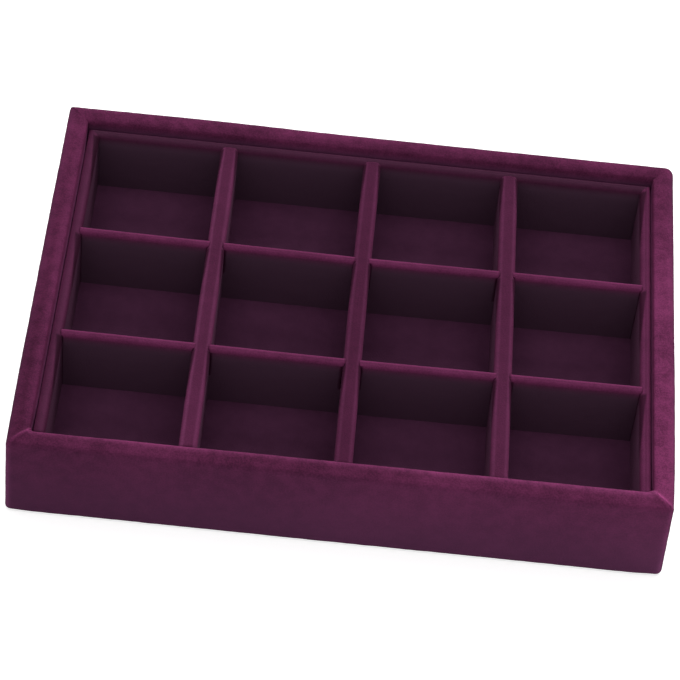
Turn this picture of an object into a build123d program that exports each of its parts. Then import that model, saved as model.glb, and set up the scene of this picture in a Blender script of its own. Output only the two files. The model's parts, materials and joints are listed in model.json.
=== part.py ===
from build123d import *
import os

# Jewelry tray: a box tray wrapped in velvet, with a lift-out insert that divides it into compartments.
# Millimetres, +Z up, front towards -Y. The origin is the middle of the flat underside.

# Whole tray, over the velvet
tray_length = 240.0
tray_depth = 180.0
tray_height = 37.0

# Velvet, backing and pile together
velvet_thick = 1.1
edge_round = 2.0  # round of a covered top edge, over the velvet
corner_round = 3.0  # round of the tray's upright corners, over the velvet
foot_round = 1.3  # round where the velvet turns in under the tray
round_limit_share = 0.48  # the most of a bar's thickness that one of its edges may round off
turn_in = 14.0  # width of velvet turned in and glued under the base

# Boards and cards
rail_thick = 6.0
base_thick = 3.0
floor_card_thick = 1.0
underside_thick = 0.9
liner_board_thick = 1.8
long_board_thick = 4.3
cross_board_thick = 1.8

# Insert
rim_step = 2.9  # top of the insert below the rim
gap_left = 1.0  # finger-tight gaps between the insert and the tray's walls
gap_right = 0.5
gap_back = 0.9
gap_front = 0.6
column_shares = (0.249, 0.255, 0.248, 0.248)  # clear widths of the columns, left to right
row_shares = (0.329, 0.329, 0.342)  # clear depths of the rows, front to back

# Fits
glue_clearance = 0.1  # round a board or card let in between its neighbours
slot_clearance = 0.1  # each side of a divider in the slot that it crosses through
underside_margin = 4.0  # velvet left showing round the underside panel
overrun = 5.0  # how far every cut runs past what it cuts

# Sizes that follow from the ones above
rim_width = rail_thick + 2 * velvet_thick
inner_length = tray_length - 2 * rim_width
inner_depth = tray_depth - 2 * rim_width
rail_span_length = inner_length + 2 * velvet_thick
rail_span_depth = inner_depth + 2 * velvet_thick
base_bottom = underside_thick + velvet_thick
base_top = base_bottom + base_thick
floor_top = base_top + floor_card_thick + velvet_thick
insert_top = tray_height - rim_step
insert_height = insert_top - floor_top
lap_height = floor_top + insert_height / 2
liner_thick = liner_board_thick + 2 * velvet_thick
long_thick = long_board_thick + 2 * velvet_thick
cross_thick = cross_board_thick + 2 * velvet_thick
insert_left = gap_left - inner_length / 2
insert_right = inner_length / 2 - gap_right
insert_back = inner_depth / 2 - gap_back
insert_front = gap_front - inner_depth / 2
field_left = insert_left + liner_thick
field_right = insert_right - liner_thick
field_back = insert_back - liner_thick
field_front = -inner_depth / 2

BOTTOM = (Align.CENTER, Align.CENTER, Align.MIN)
CORNER = (Align.MIN, Align.MIN, Align.MIN)
ALONG_X = 0
ALONG_Y = 1
DIRECTIONS = (Axis.X, Axis.Y)


def box_between(low, high):
    """Plain box between two opposite corners."""
    size = [b - a for a, b in zip(low, high)]
    return Pos(*low) * Box(*size, align=CORNER)


def upright_block(length, depth, low, high, corner):
    """Block centred in plan between two heights, its upright corners rounded."""
    block = Pos(0, 0, low) * Box(length, depth, high - low, align=BOTTOM)
    return fillet(block.edges().filter_by(Axis.Z), corner)


def hollow_block(block, length, depth, low, high, edge):
    """Cut an open well down into a block and round the rim that is left, outside and inside."""
    well = Pos(0, 0, low) * Box(length, depth, high - low + overrun, align=BOTTOM)
    hollow = block - well
    rim_face = hollow.faces().sort_by(Axis.Z)[-1]
    return fillet(rim_face.edges(), edge)


def wall_wedge(side):
    """Prism over one wall of the tray, mitred at 45 degrees where it meets the next walls."""
    across = side in ("left", "right")
    run = tray_depth if across else tray_length
    away = tray_length if across else tray_depth
    reach = turn_in + overrun
    outer = run / 2 + overrun
    inner = run / 2 - reach
    far = away / 2 + overrun
    near = away / 2 - reach
    plan = make_face(Polyline((-outer, -far), (outer, -far), (inner, -near), (-inner, -near), close=True))
    turns = {"front": 0, "right": 90, "back": 180, "left": 270}
    return Rot(0, 0, turns[side]) * extrude(plan, amount=tray_height + overrun)


def edge_for(thick):
    """Round of a covered bar's top edges, over the velvet."""
    return min(edge_round, round_limit_share * thick)


def covered_bar(low, high, along, closed_start):
    """Board standing on its edge and the velvet folded over it, between two opposite corners.

    The bar runs along X (0) or Y (1). The velvet covers both faces and the top, and the start
    of the bar too where that end is closed. Returns the board and the velvet.
    """
    across = 1 - along
    thick = high[across] - low[across]
    edge = edge_for(thick)
    core_low = list(low)
    core_high = list(high)
    core_low[across] += velvet_thick
    core_high[across] -= velvet_thick
    core_high[2] -= velvet_thick
    if closed_start:
        core_low[along] += velvet_thick
    outer = round_bar(box_between(low, high), along, closed_start, edge)
    core = round_bar(box_between(core_low, core_high), along, closed_start, edge - velvet_thick)
    return core, outer - core


def round_bar(bar, along, closed_start, edge):
    """Round a bar's two long top edges, and the top and upright edges of a closed start."""
    direction = DIRECTIONS[along]
    top = bar.faces().sort_by(Axis.Z)[-1]
    edges = top.edges().filter_by(direction)
    if closed_start:
        start = bar.faces().sort_by(direction)[0]
        edges = edges + top.edges().sort_by(direction)[:1] + start.edges().filter_by(Axis.Z)
    return fillet(edges, edge)


def mitre_wedge(corner_x, inward):
    """Prism over the side strip of the insert, cut back at 45 degrees from one of its back corners."""
    reach = insert_back - insert_front + overrun
    points = [
        (corner_x - inward * overrun, insert_back + overrun),
        (corner_x + inward * reach, insert_back - reach),
        (corner_x - inward * overrun, insert_back - reach),
    ]
    plan = make_face(Polyline(*points, close=True))
    return Pos(0, 0, floor_top - overrun) * extrude(plan, amount=insert_height + 2 * overrun)


def divider_places(start, end, thick, shares):
    """Centre lines of the dividers that share out a clear run between two faces."""
    clear = end - start - thick * (len(shares) - 1)
    places = []
    at = start
    for share in shares[:-1]:
        at += share * clear
        places.append(at + thick / 2)
        at += thick
    return places


def tray_walls():
    """Mitred rails of the tray and the velvet wrapped round each, by node name."""
    skin_block = upright_block(tray_length, tray_depth, underside_thick, tray_height, corner_round)
    skin_block = fillet(skin_block.faces().sort_by(Axis.Z)[0].edges(), foot_round)
    skin = hollow_block(skin_block, inner_length, inner_depth, base_top, tray_height, edge_round)

    core_length = tray_length - 2 * velvet_thick
    core_depth = tray_depth - 2 * velvet_thick
    core_top = tray_height - velvet_thick
    core_block = upright_block(core_length, core_depth, base_bottom, core_top, corner_round - velvet_thick)
    core_low = base_bottom - overrun
    core_edge = edge_round - velvet_thick
    core = hollow_block(core_block, rail_span_length, rail_span_depth, core_low, core_top, core_edge)

    base_space = Pos(0, 0, base_bottom) * Box(rail_span_length, rail_span_depth, base_thick, align=BOTTOM)
    window_length = tray_length - 2 * turn_in
    window_depth = tray_depth - 2 * turn_in
    window = Box(window_length, window_depth, base_bottom, align=BOTTOM)
    skin = skin - core - base_space - window

    pieces = {}
    for side in ("front", "back", "left", "right"):
        pieces[side + "_rail"] = core & wall_wedge(side)
        pieces[side + "_wrap"] = skin & wall_wedge(side)
    return pieces


def tray_floor():
    """Base board, the covered card laid on it, and the panel that closes the underside."""
    base_length = rail_span_length - 2 * glue_clearance
    base_depth = rail_span_depth - 2 * glue_clearance
    card_length = inner_length - 2 * glue_clearance
    card_depth = inner_depth - 2 * glue_clearance
    card_top = base_top + floor_card_thick
    panel_length = tray_length - 2 * underside_margin
    panel_depth = tray_depth - 2 * underside_margin
    return {
        "base_board": Pos(0, 0, base_bottom) * Box(base_length, base_depth, base_thick, align=BOTTOM),
        "floor_card": Pos(0, 0, base_top) * Box(card_length, card_depth, floor_card_thick, align=BOTTOM),
        "floor_velvet": Pos(0, 0, card_top) * Box(card_length, card_depth, velvet_thick, align=BOTTOM),
        "underside_panel": upright_block(panel_length, panel_depth, 0, underside_thick, corner_round),
    }


def liner_walls():
    """Three covered strips that stand along the left, back and right walls, mitred at the back corners."""
    left_prism = mitre_wedge(insert_left, 1)
    right_prism = mitre_wedge(insert_right, -1)
    front_left = (insert_left, insert_front, floor_top)
    back_left = (field_left, insert_back, insert_top)
    front_right = (field_right, insert_front, floor_top)
    back_right = (insert_right, insert_back, insert_top)
    left_bar = covered_bar(front_left, back_left, ALONG_Y, True)
    right_bar = covered_bar(front_right, back_right, ALONG_Y, True)
    back_bar = covered_bar((insert_left, field_back, floor_top), back_right, ALONG_X, False)
    pieces = {}
    for kind, left, back, right in zip(("board", "velvet"), left_bar, back_bar, right_bar):
        pieces["left_liner_" + kind] = left & left_prism
        pieces["right_liner_" + kind] = right & right_prism
        pieces["back_liner_" + kind] = back - left_prism - right_prism
    return pieces


def dividers():
    """Covered long and cross dividers, halved over each other where they cross."""
    long_places = divider_places(field_left, field_right, long_thick, column_shares)
    cross_places = divider_places(field_front, field_back, cross_thick, row_shares)
    long_end = field_back - glue_clearance
    cross_start = field_left + glue_clearance
    cross_end = field_right - glue_clearance
    long_slot_half = cross_thick / 2 + slot_clearance
    cross_slot_half = long_thick / 2 + slot_clearance

    long_cuts = []
    for y in cross_places:
        low = (insert_left, y - long_slot_half, floor_top - overrun)
        high = (insert_right, y + long_slot_half, lap_height + slot_clearance)
        long_cuts.append(box_between(low, high))
    cross_cuts = []
    for x in long_places:
        low = (x - cross_slot_half, insert_front, lap_height - slot_clearance)
        high = (x + cross_slot_half, insert_back, insert_top + overrun)
        cross_cuts.append(box_between(low, high))

    pieces = {}
    for count, x in enumerate(long_places, start=1):
        low = (x - long_thick / 2, insert_front, floor_top)
        high = (x + long_thick / 2, long_end, insert_top)
        board, velvet = covered_bar(low, high, ALONG_Y, True)
        pieces[f"long_divider_board_{count}"] = board - long_cuts
        pieces[f"long_divider_velvet_{count}"] = velvet - long_cuts
    for count, y in enumerate(cross_places, start=1):
        low = (cross_start, y - cross_thick / 2, floor_top)
        high = (cross_end, y + cross_thick / 2, insert_top)
        board, velvet = covered_bar(low, high, ALONG_X, False)
        pieces[f"cross_divider_board_{count}"] = board - cross_cuts
        pieces[f"cross_divider_velvet_{count}"] = velvet - cross_cuts
    return pieces


def write_parts():
    """Write every piece to its own file and say where the compartments lie."""
    os.makedirs("parts", exist_ok=True)
    pieces = {**tray_walls(), **tray_floor(), **liner_walls(), **dividers()}
    for node, piece in pieces.items():
        export_step(piece, f"parts/{node}.step")
    print("pieces", len(pieces))
    print("insert from", insert_left, insert_front, floor_top, "to", insert_right, insert_back, insert_top)
    print("long dividers at x", divider_places(field_left, field_right, long_thick, column_shares))
    print("cross dividers at y", divider_places(field_front, field_back, cross_thick, row_shares))


write_parts()
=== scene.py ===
"""Velvet jewelry tray with a lift-out divider insert: its soft skins, finishes, stage and camera."""
import json
import logging
import math
from dataclasses import dataclass, field, replace
from enum import Enum
from functools import cache, partial, reduce
from itertools import product
from typing import Callable, Iterable, NamedTuple, Sequence

import bmesh
import bpy
import numpy as np
from mathutils import Color, Matrix, Vector, noise


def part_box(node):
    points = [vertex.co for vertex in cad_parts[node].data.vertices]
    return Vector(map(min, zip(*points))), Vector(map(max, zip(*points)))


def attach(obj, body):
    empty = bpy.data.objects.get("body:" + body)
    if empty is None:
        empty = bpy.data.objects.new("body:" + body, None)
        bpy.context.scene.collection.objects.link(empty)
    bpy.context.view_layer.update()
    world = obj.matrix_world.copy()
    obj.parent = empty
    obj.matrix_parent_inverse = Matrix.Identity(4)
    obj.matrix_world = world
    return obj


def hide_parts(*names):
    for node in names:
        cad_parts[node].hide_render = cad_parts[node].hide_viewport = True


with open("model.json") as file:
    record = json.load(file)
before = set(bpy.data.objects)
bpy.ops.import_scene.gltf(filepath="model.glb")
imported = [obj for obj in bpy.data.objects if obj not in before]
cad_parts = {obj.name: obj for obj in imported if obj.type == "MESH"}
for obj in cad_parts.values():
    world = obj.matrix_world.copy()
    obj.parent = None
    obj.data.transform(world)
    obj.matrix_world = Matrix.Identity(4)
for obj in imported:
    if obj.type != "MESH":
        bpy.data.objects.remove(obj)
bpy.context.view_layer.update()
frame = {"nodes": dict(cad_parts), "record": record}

MM = 0.001
FILM_PIXELS = 680.0
SENSOR_MM = 36.0
# Steps of a section's rounds and of its crown, and about how far apart its other points are.
ROUND_STEPS = 8
CROWN_STEPS = 8
SECTION_STEP = 1.4 * MM
# Shares of a strip's rings that are spaced evenly, and how the others crowd towards its ends.
EVEN_RINGS = 0.65
RING_POWER = 0.9
# How the painted highlight is spread round an edge: where it peaks, how fast it comes and goes,
# and how much painted grey it brings.
EDGE_PEAK = 0.25
EDGE_RISE = 0.8
EDGE_FALL = 0.6
EDGE_GREY = 0.15
# Upright part of a normal above which a strip's top counts as level.
LEVEL = 0.9
SHARP_ANGLE = 50.0
# Waves per metre of the pile's fuzz, share of a pile's quicker waves, and way from one pattern to the next.
FUZZ_SCALES = (210.0, 420.0)
QUICK_SHARE = 0.5
PATTERN_WAY = Vector((1.0, 2.3, -1.7))
# Places of a colour mix's factor and its two colours among its inputs, and of its result.
MIX_INPUTS = (0, 6, 7)
MIX_OUTPUT = 2
Socket = bpy.types.NodeSocket
Colour = tuple[float, float, float]
Trend = tuple[float, float, float]
Pair = tuple[float, float]
Face = tuple[int, ...]
STRAIGHT: Trend = (0.0, 0.0, 0.0)
log = logging.getLogger("jewelry_tray")


class Slot(Enum):
    """Material slots of the record."""

    VELVET = "plum_velvet"
    MDF = "mdf_board"
    GREY = "grey_board"
    FLOCK = "flocked_card"


class Body(Enum):
    """Bodies of the frame."""

    TRAY = "tray"
    INSERT = "insert"


class End(Enum):
    """How a strip of velvet ends."""

    MITRE = "mitre"
    CLOSED = "closed"
    BUTT = "butt"


def shade(trend: Trend, share: float) -> float:
    """Value of a trend, for a share from -1 at its start to 1 at its end."""
    end = trend[0] if share < 0 else trend[2]
    return trend[1] + (end - trend[1]) * abs(share)


def linear(*display: int) -> Colour:
    """Turn a display colour, of three values from 0 to 255, into a linear one."""
    return tuple(Color([value / 255.0 for value in display]).from_srgb_to_scene_linear())


class Touch(NamedTuple):
    """What the velvet does at a point.

    rise is how far it stands out, edge how much painted highlight it takes, the third value how
    much lighter or darker the nap and painted light and shade make it, and the last how much of
    the painted grey of shaded places shows.
    """

    rise: float = 0.0
    edge: float = 0.0
    nap_and_painted_light: float = 0.0
    painted_grey: float = 0.0


class NodeTree:
    """Short way to place and join shader nodes.

    Args:
        tree: The node tree to fill.
    """

    def __init__(self, tree: bpy.types.NodeTree) -> None:
        """Keep the tree."""
        self.tree = tree

    def feed(self, target: Socket, value: object) -> None:
        """Link an output to an input, or give the input a plain value.

        Args:
            target: The input.
            value: An output, a number or a colour.
        """
        if isinstance(value, Socket):
            self.tree.links.new(value, target)
        else:
            target.default_value = (*value, 1.0) if target.type == "RGBA" else value

    def add(self, kind: str, **values: object) -> bpy.types.Node:
        """Add a node and set its options and inputs.

        Args:
            kind: Node type, without the leading "ShaderNode".
            values: Options by their own name, or inputs by name with "_" for a blank.

        Returns:
            The new node.
        """
        node = self.tree.nodes.new("ShaderNode" + kind)
        for key, value in values.items():
            if hasattr(node, key):
                setattr(node, key, value)
            else:
                self.feed(node.inputs[key.replace("_", " ")], value)
        return node

    def math(self, operation: str, first: object, second: object, clamp: bool = False) -> Socket:
        """Add a math node.

        Args:
            operation: Blender's name for the operation.
            first: A socket or a number.
            second: A socket or a number.
            clamp: Whether the result is kept from 0 to 1.

        Returns:
            The result's socket.
        """
        node = self.add("Math", operation=operation, use_clamp=clamp)
        for target, value in zip(node.inputs, (first, second)):
            self.feed(target, value)
        return node.outputs[0]

    def total(self, *terms: tuple[Socket, float]) -> Socket:
        """Add up sockets, each times its share."""
        parts = [self.math("MULTIPLY", value, share) for value, share in terms]
        return reduce(lambda first, second: self.math("ADD", first, second), parts)

    def blend(self, factor: object, first: object, second: object) -> Socket:
        """Mix two colours.

        Args:
            factor: A socket or a number.
            first: A socket or a colour.
            second: A socket or a colour.

        Returns:
            The mixed colour's socket.
        """
        node = self.add("Mix", data_type="RGBA")
        for place, value in zip(MIX_INPUTS, (factor, first, second)):
            self.feed(node.inputs[place], value)
        return node.outputs[MIX_OUTPUT]

    def spread(self, value: Socket, low: float, high: float, to: Pair = (0.0, 1.0)) -> Socket:
        """Stretch a range of values to another, clamped.

        Args:
            value: The socket to stretch.
            low: Value that becomes to[0].
            high: Value that becomes to[1].
            to: The new range.

        Returns:
            The stretched value's socket.
        """
        node = self.add("MapRange", interpolation_type="SMOOTHSTEP")
        for target, number in zip(node.inputs, (value, low, high, *to)):
            self.feed(target, number)
        return node.outputs[0]

    def seen(self) -> Socket:
        """Tell what the camera sees, also mirrored or through glass, from light on the object.

        Returns:
            The socket of a value that is 1 for what the camera sees, and 0 for light.
        """
        path = self.add("LightPath").outputs
        seen = self.math("MAXIMUM", path["Is Camera Ray"], path["Is Glossy Ray"])
        return self.math("MAXIMUM", seen, path["Is Transmission Ray"])

    def effect(
        self, group: bpy.types.NodeTree, shader: bpy.types.Node, relief: Pair, **values: object
    ) -> bpy.types.NodeOutputs:
        """Place an effect in the object's own space, and let its height raise the surface.

        Args:
            group: The effect's node group.
            shader: The Principled shader.
            relief: Strength and depth of the bump.
            values: The effect's inputs by name.

        Returns:
            The effect's outputs.
        """
        place = self.add("TexCoord").outputs["Object"]
        outputs = self.add("Group", node_tree=group, Vector=place, **values).outputs
        bump = self.add("Bump", Strength=relief[0], Distance=relief[1], Height=outputs["Height"])
        self.feed(shader.inputs["Normal"], bump.outputs[0])
        return outputs


@dataclass(frozen=True)
class Layer:
    """One noise of an effect.

    scale is per metre, rough is how strong each octave is beside the one before, and span is the
    part of the noise that is stretched to run from -1 to 1.
    """

    scale: float
    octaves: float
    rough: float
    span: Pair | None = None


class Group(NodeTree):
    """A shader node group with named inputs and outputs.

    Args:
        name: The group's name.
        inputs: Each input's default, a number or a vector, by its name.
        outputs: Names of the outputs, which are all numbers.
    """

    def __init__(self, name: str, inputs: dict[str, float | Trend], outputs: Sequence[str]) -> None:
        """Make the group and its sockets."""
        super().__init__(bpy.data.node_groups.new(name, "ShaderNodeTree"))
        for label, value in inputs.items():
            kind = "NodeSocketFloat" if isinstance(value, float) else "NodeSocketVector"
            self.tree.interface.new_socket(label, in_out="INPUT", socket_type=kind).default_value = value
        for label in outputs:
            self.tree.interface.new_socket(label, in_out="OUTPUT", socket_type="NodeSocketFloat")
        self.source = self.tree.nodes.new("NodeGroupInput").outputs
        self.sink = self.tree.nodes.new("NodeGroupOutput").inputs

    def noise(self, vector: Socket, layer: Layer) -> Socket:
        """Add a noise texture.

        Args:
            vector: Coordinates.
            layer: The noise's values.

        Returns:
            The noise value's socket.
        """
        values = {"Scale": layer.scale, "Detail": layer.octaves, "Roughness": layer.rough}
        value = self.add("TexNoise", Vector=vector, **values).outputs[0]
        return self.spread(value, *layer.span, (-1.0, 1.0)) if layer.span else value


@dataclass(frozen=True)
class NapGroup:
    """Pile effect shared by the velvets and the flock.

    broad and fine are how much the patches and mottle, and the grain, change the pile's
    lightness, and grain_high and mottle_high how high those two stand beside the tufts.
    """

    patch: Layer = Layer(22.0, 3.0, 0.55, (0.35, 0.68))
    mottle: Layer = Layer(190.0, 3.0, 0.6, (0.3, 0.7))
    grain: Layer = Layer(1500.0, 2.0, 0.7, (0.3, 0.7))
    tuft: Layer = Layer(5200.0, 1.0, 0.5)
    broad: float = 0.3025
    fine: float = 0.4
    grain_high: float = 0.35
    mottle_high: float = 0.4
    roughness: Pair = (0.82, 0.98)

    @cache
    def build(self) -> bpy.types.NodeTree:
        """Build the node group, once.

        Returns:
            The group.
        """
        inputs = {"Vector": STRAIGHT, "Patches": 1.0, "Grain": 1.0}
        g = Group("pile_nap", inputs, ("Lightness", "Height", "Roughness"))
        layers = (self.patch, self.mottle, self.grain, self.tuft)
        patch, mottle, grain, tuft = (g.noise(g.source["Vector"], layer) for layer in layers)
        broad = g.math("MULTIPLY", g.total((patch, self.broad), (mottle, self.broad)), g.source["Patches"])
        fine = g.math("MULTIPLY", grain, g.source["Grain"])
        g.feed(g.sink["Lightness"], g.total((broad, 1.0), (fine, self.fine)))
        g.feed(g.sink["Height"], g.total((grain, self.grain_high), (tuft, 1.0), (mottle, self.mottle_high)))
        g.feed(g.sink["Roughness"], g.spread(grain, -1.0, 1.0, self.roughness))
        return g.tree


@dataclass(frozen=True)
class FibreGroup:
    """Pressed-fibre effect shared by the raw boards: strands and flecks, and the span that shows."""

    strand: Layer = Layer(260.0, 4.0, 0.65)
    fleck: Layer = Layer(900.0, 3.0, 0.7)
    strand_share: float = 0.55
    span: Pair = (0.35, 0.65)

    @cache
    def build(self) -> bpy.types.NodeTree:
        """Build the node group, once.

        Returns:
            The group.
        """
        g = Group("pressed_fibre", {"Vector": STRAIGHT, "Stretch": (1.0, 1.0, 1.0)}, ("Fleck", "Height"))
        place = g.source["Vector"]
        drawn = g.add("VectorMath", operation="MULTIPLY")
        for target, value in zip(drawn.inputs, (place, g.source["Stretch"])):
            g.feed(target, value)
        strand, fleck = g.noise(drawn.outputs[0], self.strand), g.noise(place, self.fleck)
        both = g.total((strand, self.strand_share), (fleck, 1.0 - self.strand_share))
        g.feed(g.sink["Fleck"], g.spread(both, *self.span))
        g.feed(g.sink["Height"], both)
        return g.tree


def new_material(name: str) -> tuple[bpy.types.Material, NodeTree, bpy.types.Node]:
    """Start a material.

    Args:
        name: The material's name.

    Returns:
        The material, its nodes and its Principled shader.
    """
    material = bpy.data.materials.new(name)
    material.use_nodes = True
    material.node_tree.nodes.clear()
    nodes = NodeTree(material.node_tree)
    shader = nodes.add("BsdfPrincipled")
    nodes.add("OutputMaterial", Surface=shader.outputs[0])
    return material, nodes, shader


@dataclass(frozen=True)
class PileFinish:
    """Short pile, as velvet or flock.

    The nap shifts it from pile to tip. A painted highlight lightens it where it turns over an edge,
    it is painted lighter or darker along a wall, partly for the nap and partly as painted light and
    shade, and a painted grey stands in for the tone of shaded places.
    relief is the strength and depth of its bump.
    """

    name: str
    pile: Colour
    tip: Colour
    shade_grey: Colour
    patches: float = 1.0
    grain: float = 1.0
    edge_light: float = 1.2
    sheen: float = 0.04
    sheen_roughness: float = 0.4
    gloss: float = 0.03
    relief: Pair = (0.35, 0.25 * MM)

    @cache
    def build(self) -> bpy.types.Material:
        """Build the material, once.

        Returns:
            The material.
        """
        material, n, shader = new_material(self.name)
        nap = n.effect(NapGroup().build(), shader, self.relief, Patches=self.patches, Grain=self.grain)
        # Read the painted highlight, the painted light and shade with the nap, and the painted grey of shade
        # stored at each point.
        shares = [n.add("Attribute", attribute_name=name) for name in Touch._fields[1:]]
        edge, nap_and_painted_light, painted_grey = (node.outputs["Fac"] for node in shares)
        tipped = n.math("ADD", n.math("MULTIPLY", nap["Lightness"], 0.5), 0.5, clamp=True)
        colour = n.blend(painted_grey, n.blend(tipped, self.pile, self.tip), self.shade_grey)
        gain = n.math("ADD", n.total((nap_and_painted_light, 1.0), (edge, self.edge_light)), 1.0)
        lit = n.add("VectorMath", operation="SCALE", Vector=colour, Scale=gain)
        values = {
            "Base Color": lit.outputs[0],
            "Roughness": nap["Roughness"],
            "Sheen Weight": self.sheen,
            "Sheen Roughness": self.sheen_roughness,
            "Sheen Tint": tuple(value / max(self.tip) for value in self.tip),
            "Specular IOR Level": self.gloss,
        }
        for label, value in values.items():
            n.feed(shader.inputs[label], value)
        return material


@dataclass(frozen=True)
class BoardFinish:
    """Raw pressed board, showing at its cut edges and underneath.

    stretch draws its strands out, and relief is the strength and depth of its bump.
    """

    name: str
    light: Colour
    dark: Colour
    stretch: Trend = (1.0, 1.0, 4.0)
    roughness: Pair = (0.72, 0.9)
    gloss: float = 0.25
    relief: Pair = (0.3, 0.15 * MM)

    @cache
    def build(self) -> bpy.types.Material:
        """Build the material, once.

        Returns:
            The material.
        """
        material, n, shader = new_material(self.name)
        fleck = n.effect(FibreGroup().build(), shader, self.relief, Stretch=self.stretch)["Fleck"]
        n.feed(shader.inputs["Base Color"], n.blend(fleck, self.dark, self.light))
        n.feed(shader.inputs["Roughness"], n.spread(fleck, 0.0, 1.0, self.roughness))
        n.feed(shader.inputs["Specular IOR Level"], self.gloss)
        return material


@dataclass(frozen=True)
class Finishes:
    """Every finish of the tray."""

    # The wrap, insert and floor are one plum velvet; their copies differ partly as painted light and shade,
    # the floor's being lighter to paint in light on the compartment floors. Each velvet's third colour is the
    # painted grey of shaded places.
    wrap: PileFinish = PileFinish(
        "velvet_wrap", linear(67, 25, 50), linear(101, 41, 76), linear(86, 48, 76), patches=1.4, grain=1.3
    )
    insert: PileFinish = PileFinish(
        "velvet_insert", linear(61, 22, 45), linear(88, 35, 67), linear(91, 64, 84), patches=0.7
    )
    floor: PileFinish = PileFinish(
        "velvet_floor", linear(81, 44, 70), linear(99, 56, 86), linear(88, 54, 80), grain=0.4, sheen=0.02
    )
    flock: PileFinish = PileFinish(
        "flocked_pile", linear(46, 26, 41), linear(88, 54, 78), linear(46, 32, 42), patches=0.9, grain=1.8
    )
    mdf: BoardFinish = BoardFinish("mdf_fibre", linear(178, 142, 104), linear(140, 106, 74))
    grey: BoardFinish = BoardFinish("grey_fibre", linear(168, 163, 155), linear(128, 124, 117))


@dataclass(frozen=True)
class Arch:
    """Rounded top of a covered board: two rounds joined by a wide, shallow one."""

    width: float
    outer: float
    inner: float
    crown: float
    middle: float

    def sides(self, top: float) -> tuple[Trend, Trend]:
        """Places of the outer and inner rounds.

        Args:
            top: Height of the highest point.

        Returns:
            Each round's centre, depth and height, and its turn in degrees where it meets the crown.
        """
        found = []
        rounds = ((self.outer, self.middle, -1.0), (self.inner, self.width - self.middle, 1.0))
        for radius, reach, way in rounds:
            span = self.crown - radius
            turn = math.asin((reach - radius) / span)
            depth = self.middle + way * span * math.sin(turn)
            found.append((depth, top - self.crown + span * math.cos(turn), math.degrees(turn)))
        return found[0], found[1]


Touching = Callable[[Vector, float, float, float], Touch]


@dataclass
class Section:
    """Cross-section of a folded strip of velvet, from one hem to the other.

    Points are (depth, height): depth runs inwards from the strip's outer face. Each point of the
    pile side has a normal and a share of freedom, 0 where the velvet is pressed flat.
    """

    thick: float
    points: list[Pair] = field(default_factory=list)
    normals: list[Pair] = field(default_factory=list)
    free: list[float] = field(default_factory=list)

    def add(self, point: Pair, normal: Pair, free: float = 0.0) -> None:
        """Add one point.

        Args:
            point: Its depth and height.
            normal: Which way the pile side faces there.
            free: Share of freedom.
        """
        self.points.append(point)
        self.normals.append(normal)
        self.free.append(free)

    def line(self, start: Pair, end: Pair, step: float = SECTION_STEP, free: float = 1.0) -> None:
        """Add a straight run, whose last step stops short of its end.

        Args:
            start: First point.
            end: Where it ends.
            step: About how far apart the points are.
            free: Share of freedom.
        """
        span = math.dist(start, end)
        count = max(1, round(span / step))
        normal = ((end[1] - start[1]) / span, -(end[0] - start[0]) / span)
        for i in range(count):
            self.add(tuple(a + (b - a) * i / count for a, b in zip(start, end)), normal, free)

    def arc(self, centre: Pair, radius: float, first: float, last: float, steps: int) -> None:
        """Add a round, whose last step stops short of its end.

        Args:
            centre: The round's centre.
            radius: The round's radius.
            first: Angle that it starts at, in degrees from the depth's direction.
            last: Angle that it ends at.
            steps: Number of steps.
        """
        for i in range(steps):
            angle = math.radians(first + (last - first) * i / steps)
            normal = (math.cos(angle), math.sin(angle))
            self.add(tuple(c + radius * n for c, n in zip(centre, normal)), normal, 1.0)

    def over(self, arch: Arch, top: float, start: float, stop: float) -> None:
        """Add a board's inner side, its rounded top and its outer side.

        Args:
            arch: The top's shape.
            top: Height of its highest point.
            start: Height that the inner side starts at.
            stop: Height that the outer side stops short of.
        """
        (outer, outer_high, outer_lean), (inner, inner_high, inner_lean) = arch.sides(top)
        self.line((arch.width, start), (arch.width, inner_high))
        first, last = 90.0 - inner_lean, 90.0 + outer_lean
        self.arc((inner, inner_high), arch.inner, 0.0, first, ROUND_STEPS)
        self.arc((arch.middle, top - arch.crown), arch.crown, first, last, CROWN_STEPS)
        self.arc((outer, outer_high), arch.outer, last, 180.0, ROUND_STEPS)
        self.line((0.0, outer_high), (0.0, stop))


@dataclass
class Run:
    """Straight run that a strip of velvet follows.

    The strip's outer face stands on the line from start, which runs along `along`, and its
    depth goes towards `inward`. first and last say how the two ends are finished, and corners
    are the radii in plan of the outer face at each mitred end.
    """

    start: Vector
    along: Vector
    inward: Vector
    length: float
    first: End
    last: End
    corners: Pair = (0.0, 0.0)

    def reach(self, depth: float, end: End, corner: float) -> float:
        """Length of velvet from the middle of the run to one end.

        Args:
            depth: Depth below the outer face.
            end: How that end is finished.
            corner: Radius of that end's corner.

        Returns:
            The length, in metres.
        """
        if end is not End.MITRE:
            return self.length / 2
        return self.length / 2 - max(depth, corner) + math.pi / 4 * max(corner - depth, 0.0)

    def place(self, share: float, depth: float, height: float, inset: float = 0.0) -> Vector:
        """Point on the run.

        Args:
            share: From -1 at the first end to 1 at the last.
            depth: Depth below the outer face.
            height: Height above the floor.
            inset: How far a closed end stands back here.

        Returns:
            The point, in the row frame.
        """
        end, corner = (self.last, self.corners[1]) if share > 0 else (self.first, self.corners[0])
        way = abs(share) * self.reach(depth, end, corner)
        inward = depth
        if end is End.MITRE:
            straight = self.length / 2 - max(depth, corner)
            radius = corner - depth
            if way > straight and radius > 0:
                angle = (way - straight) / radius
                way = straight + radius * math.sin(angle)
                inward = corner - radius * math.cos(angle)
        way = self.length / 2 + math.copysign(way - inset, share)
        return self.start + self.along * way + self.inward * inward + Vector((0.0, 0.0, height))


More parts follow.
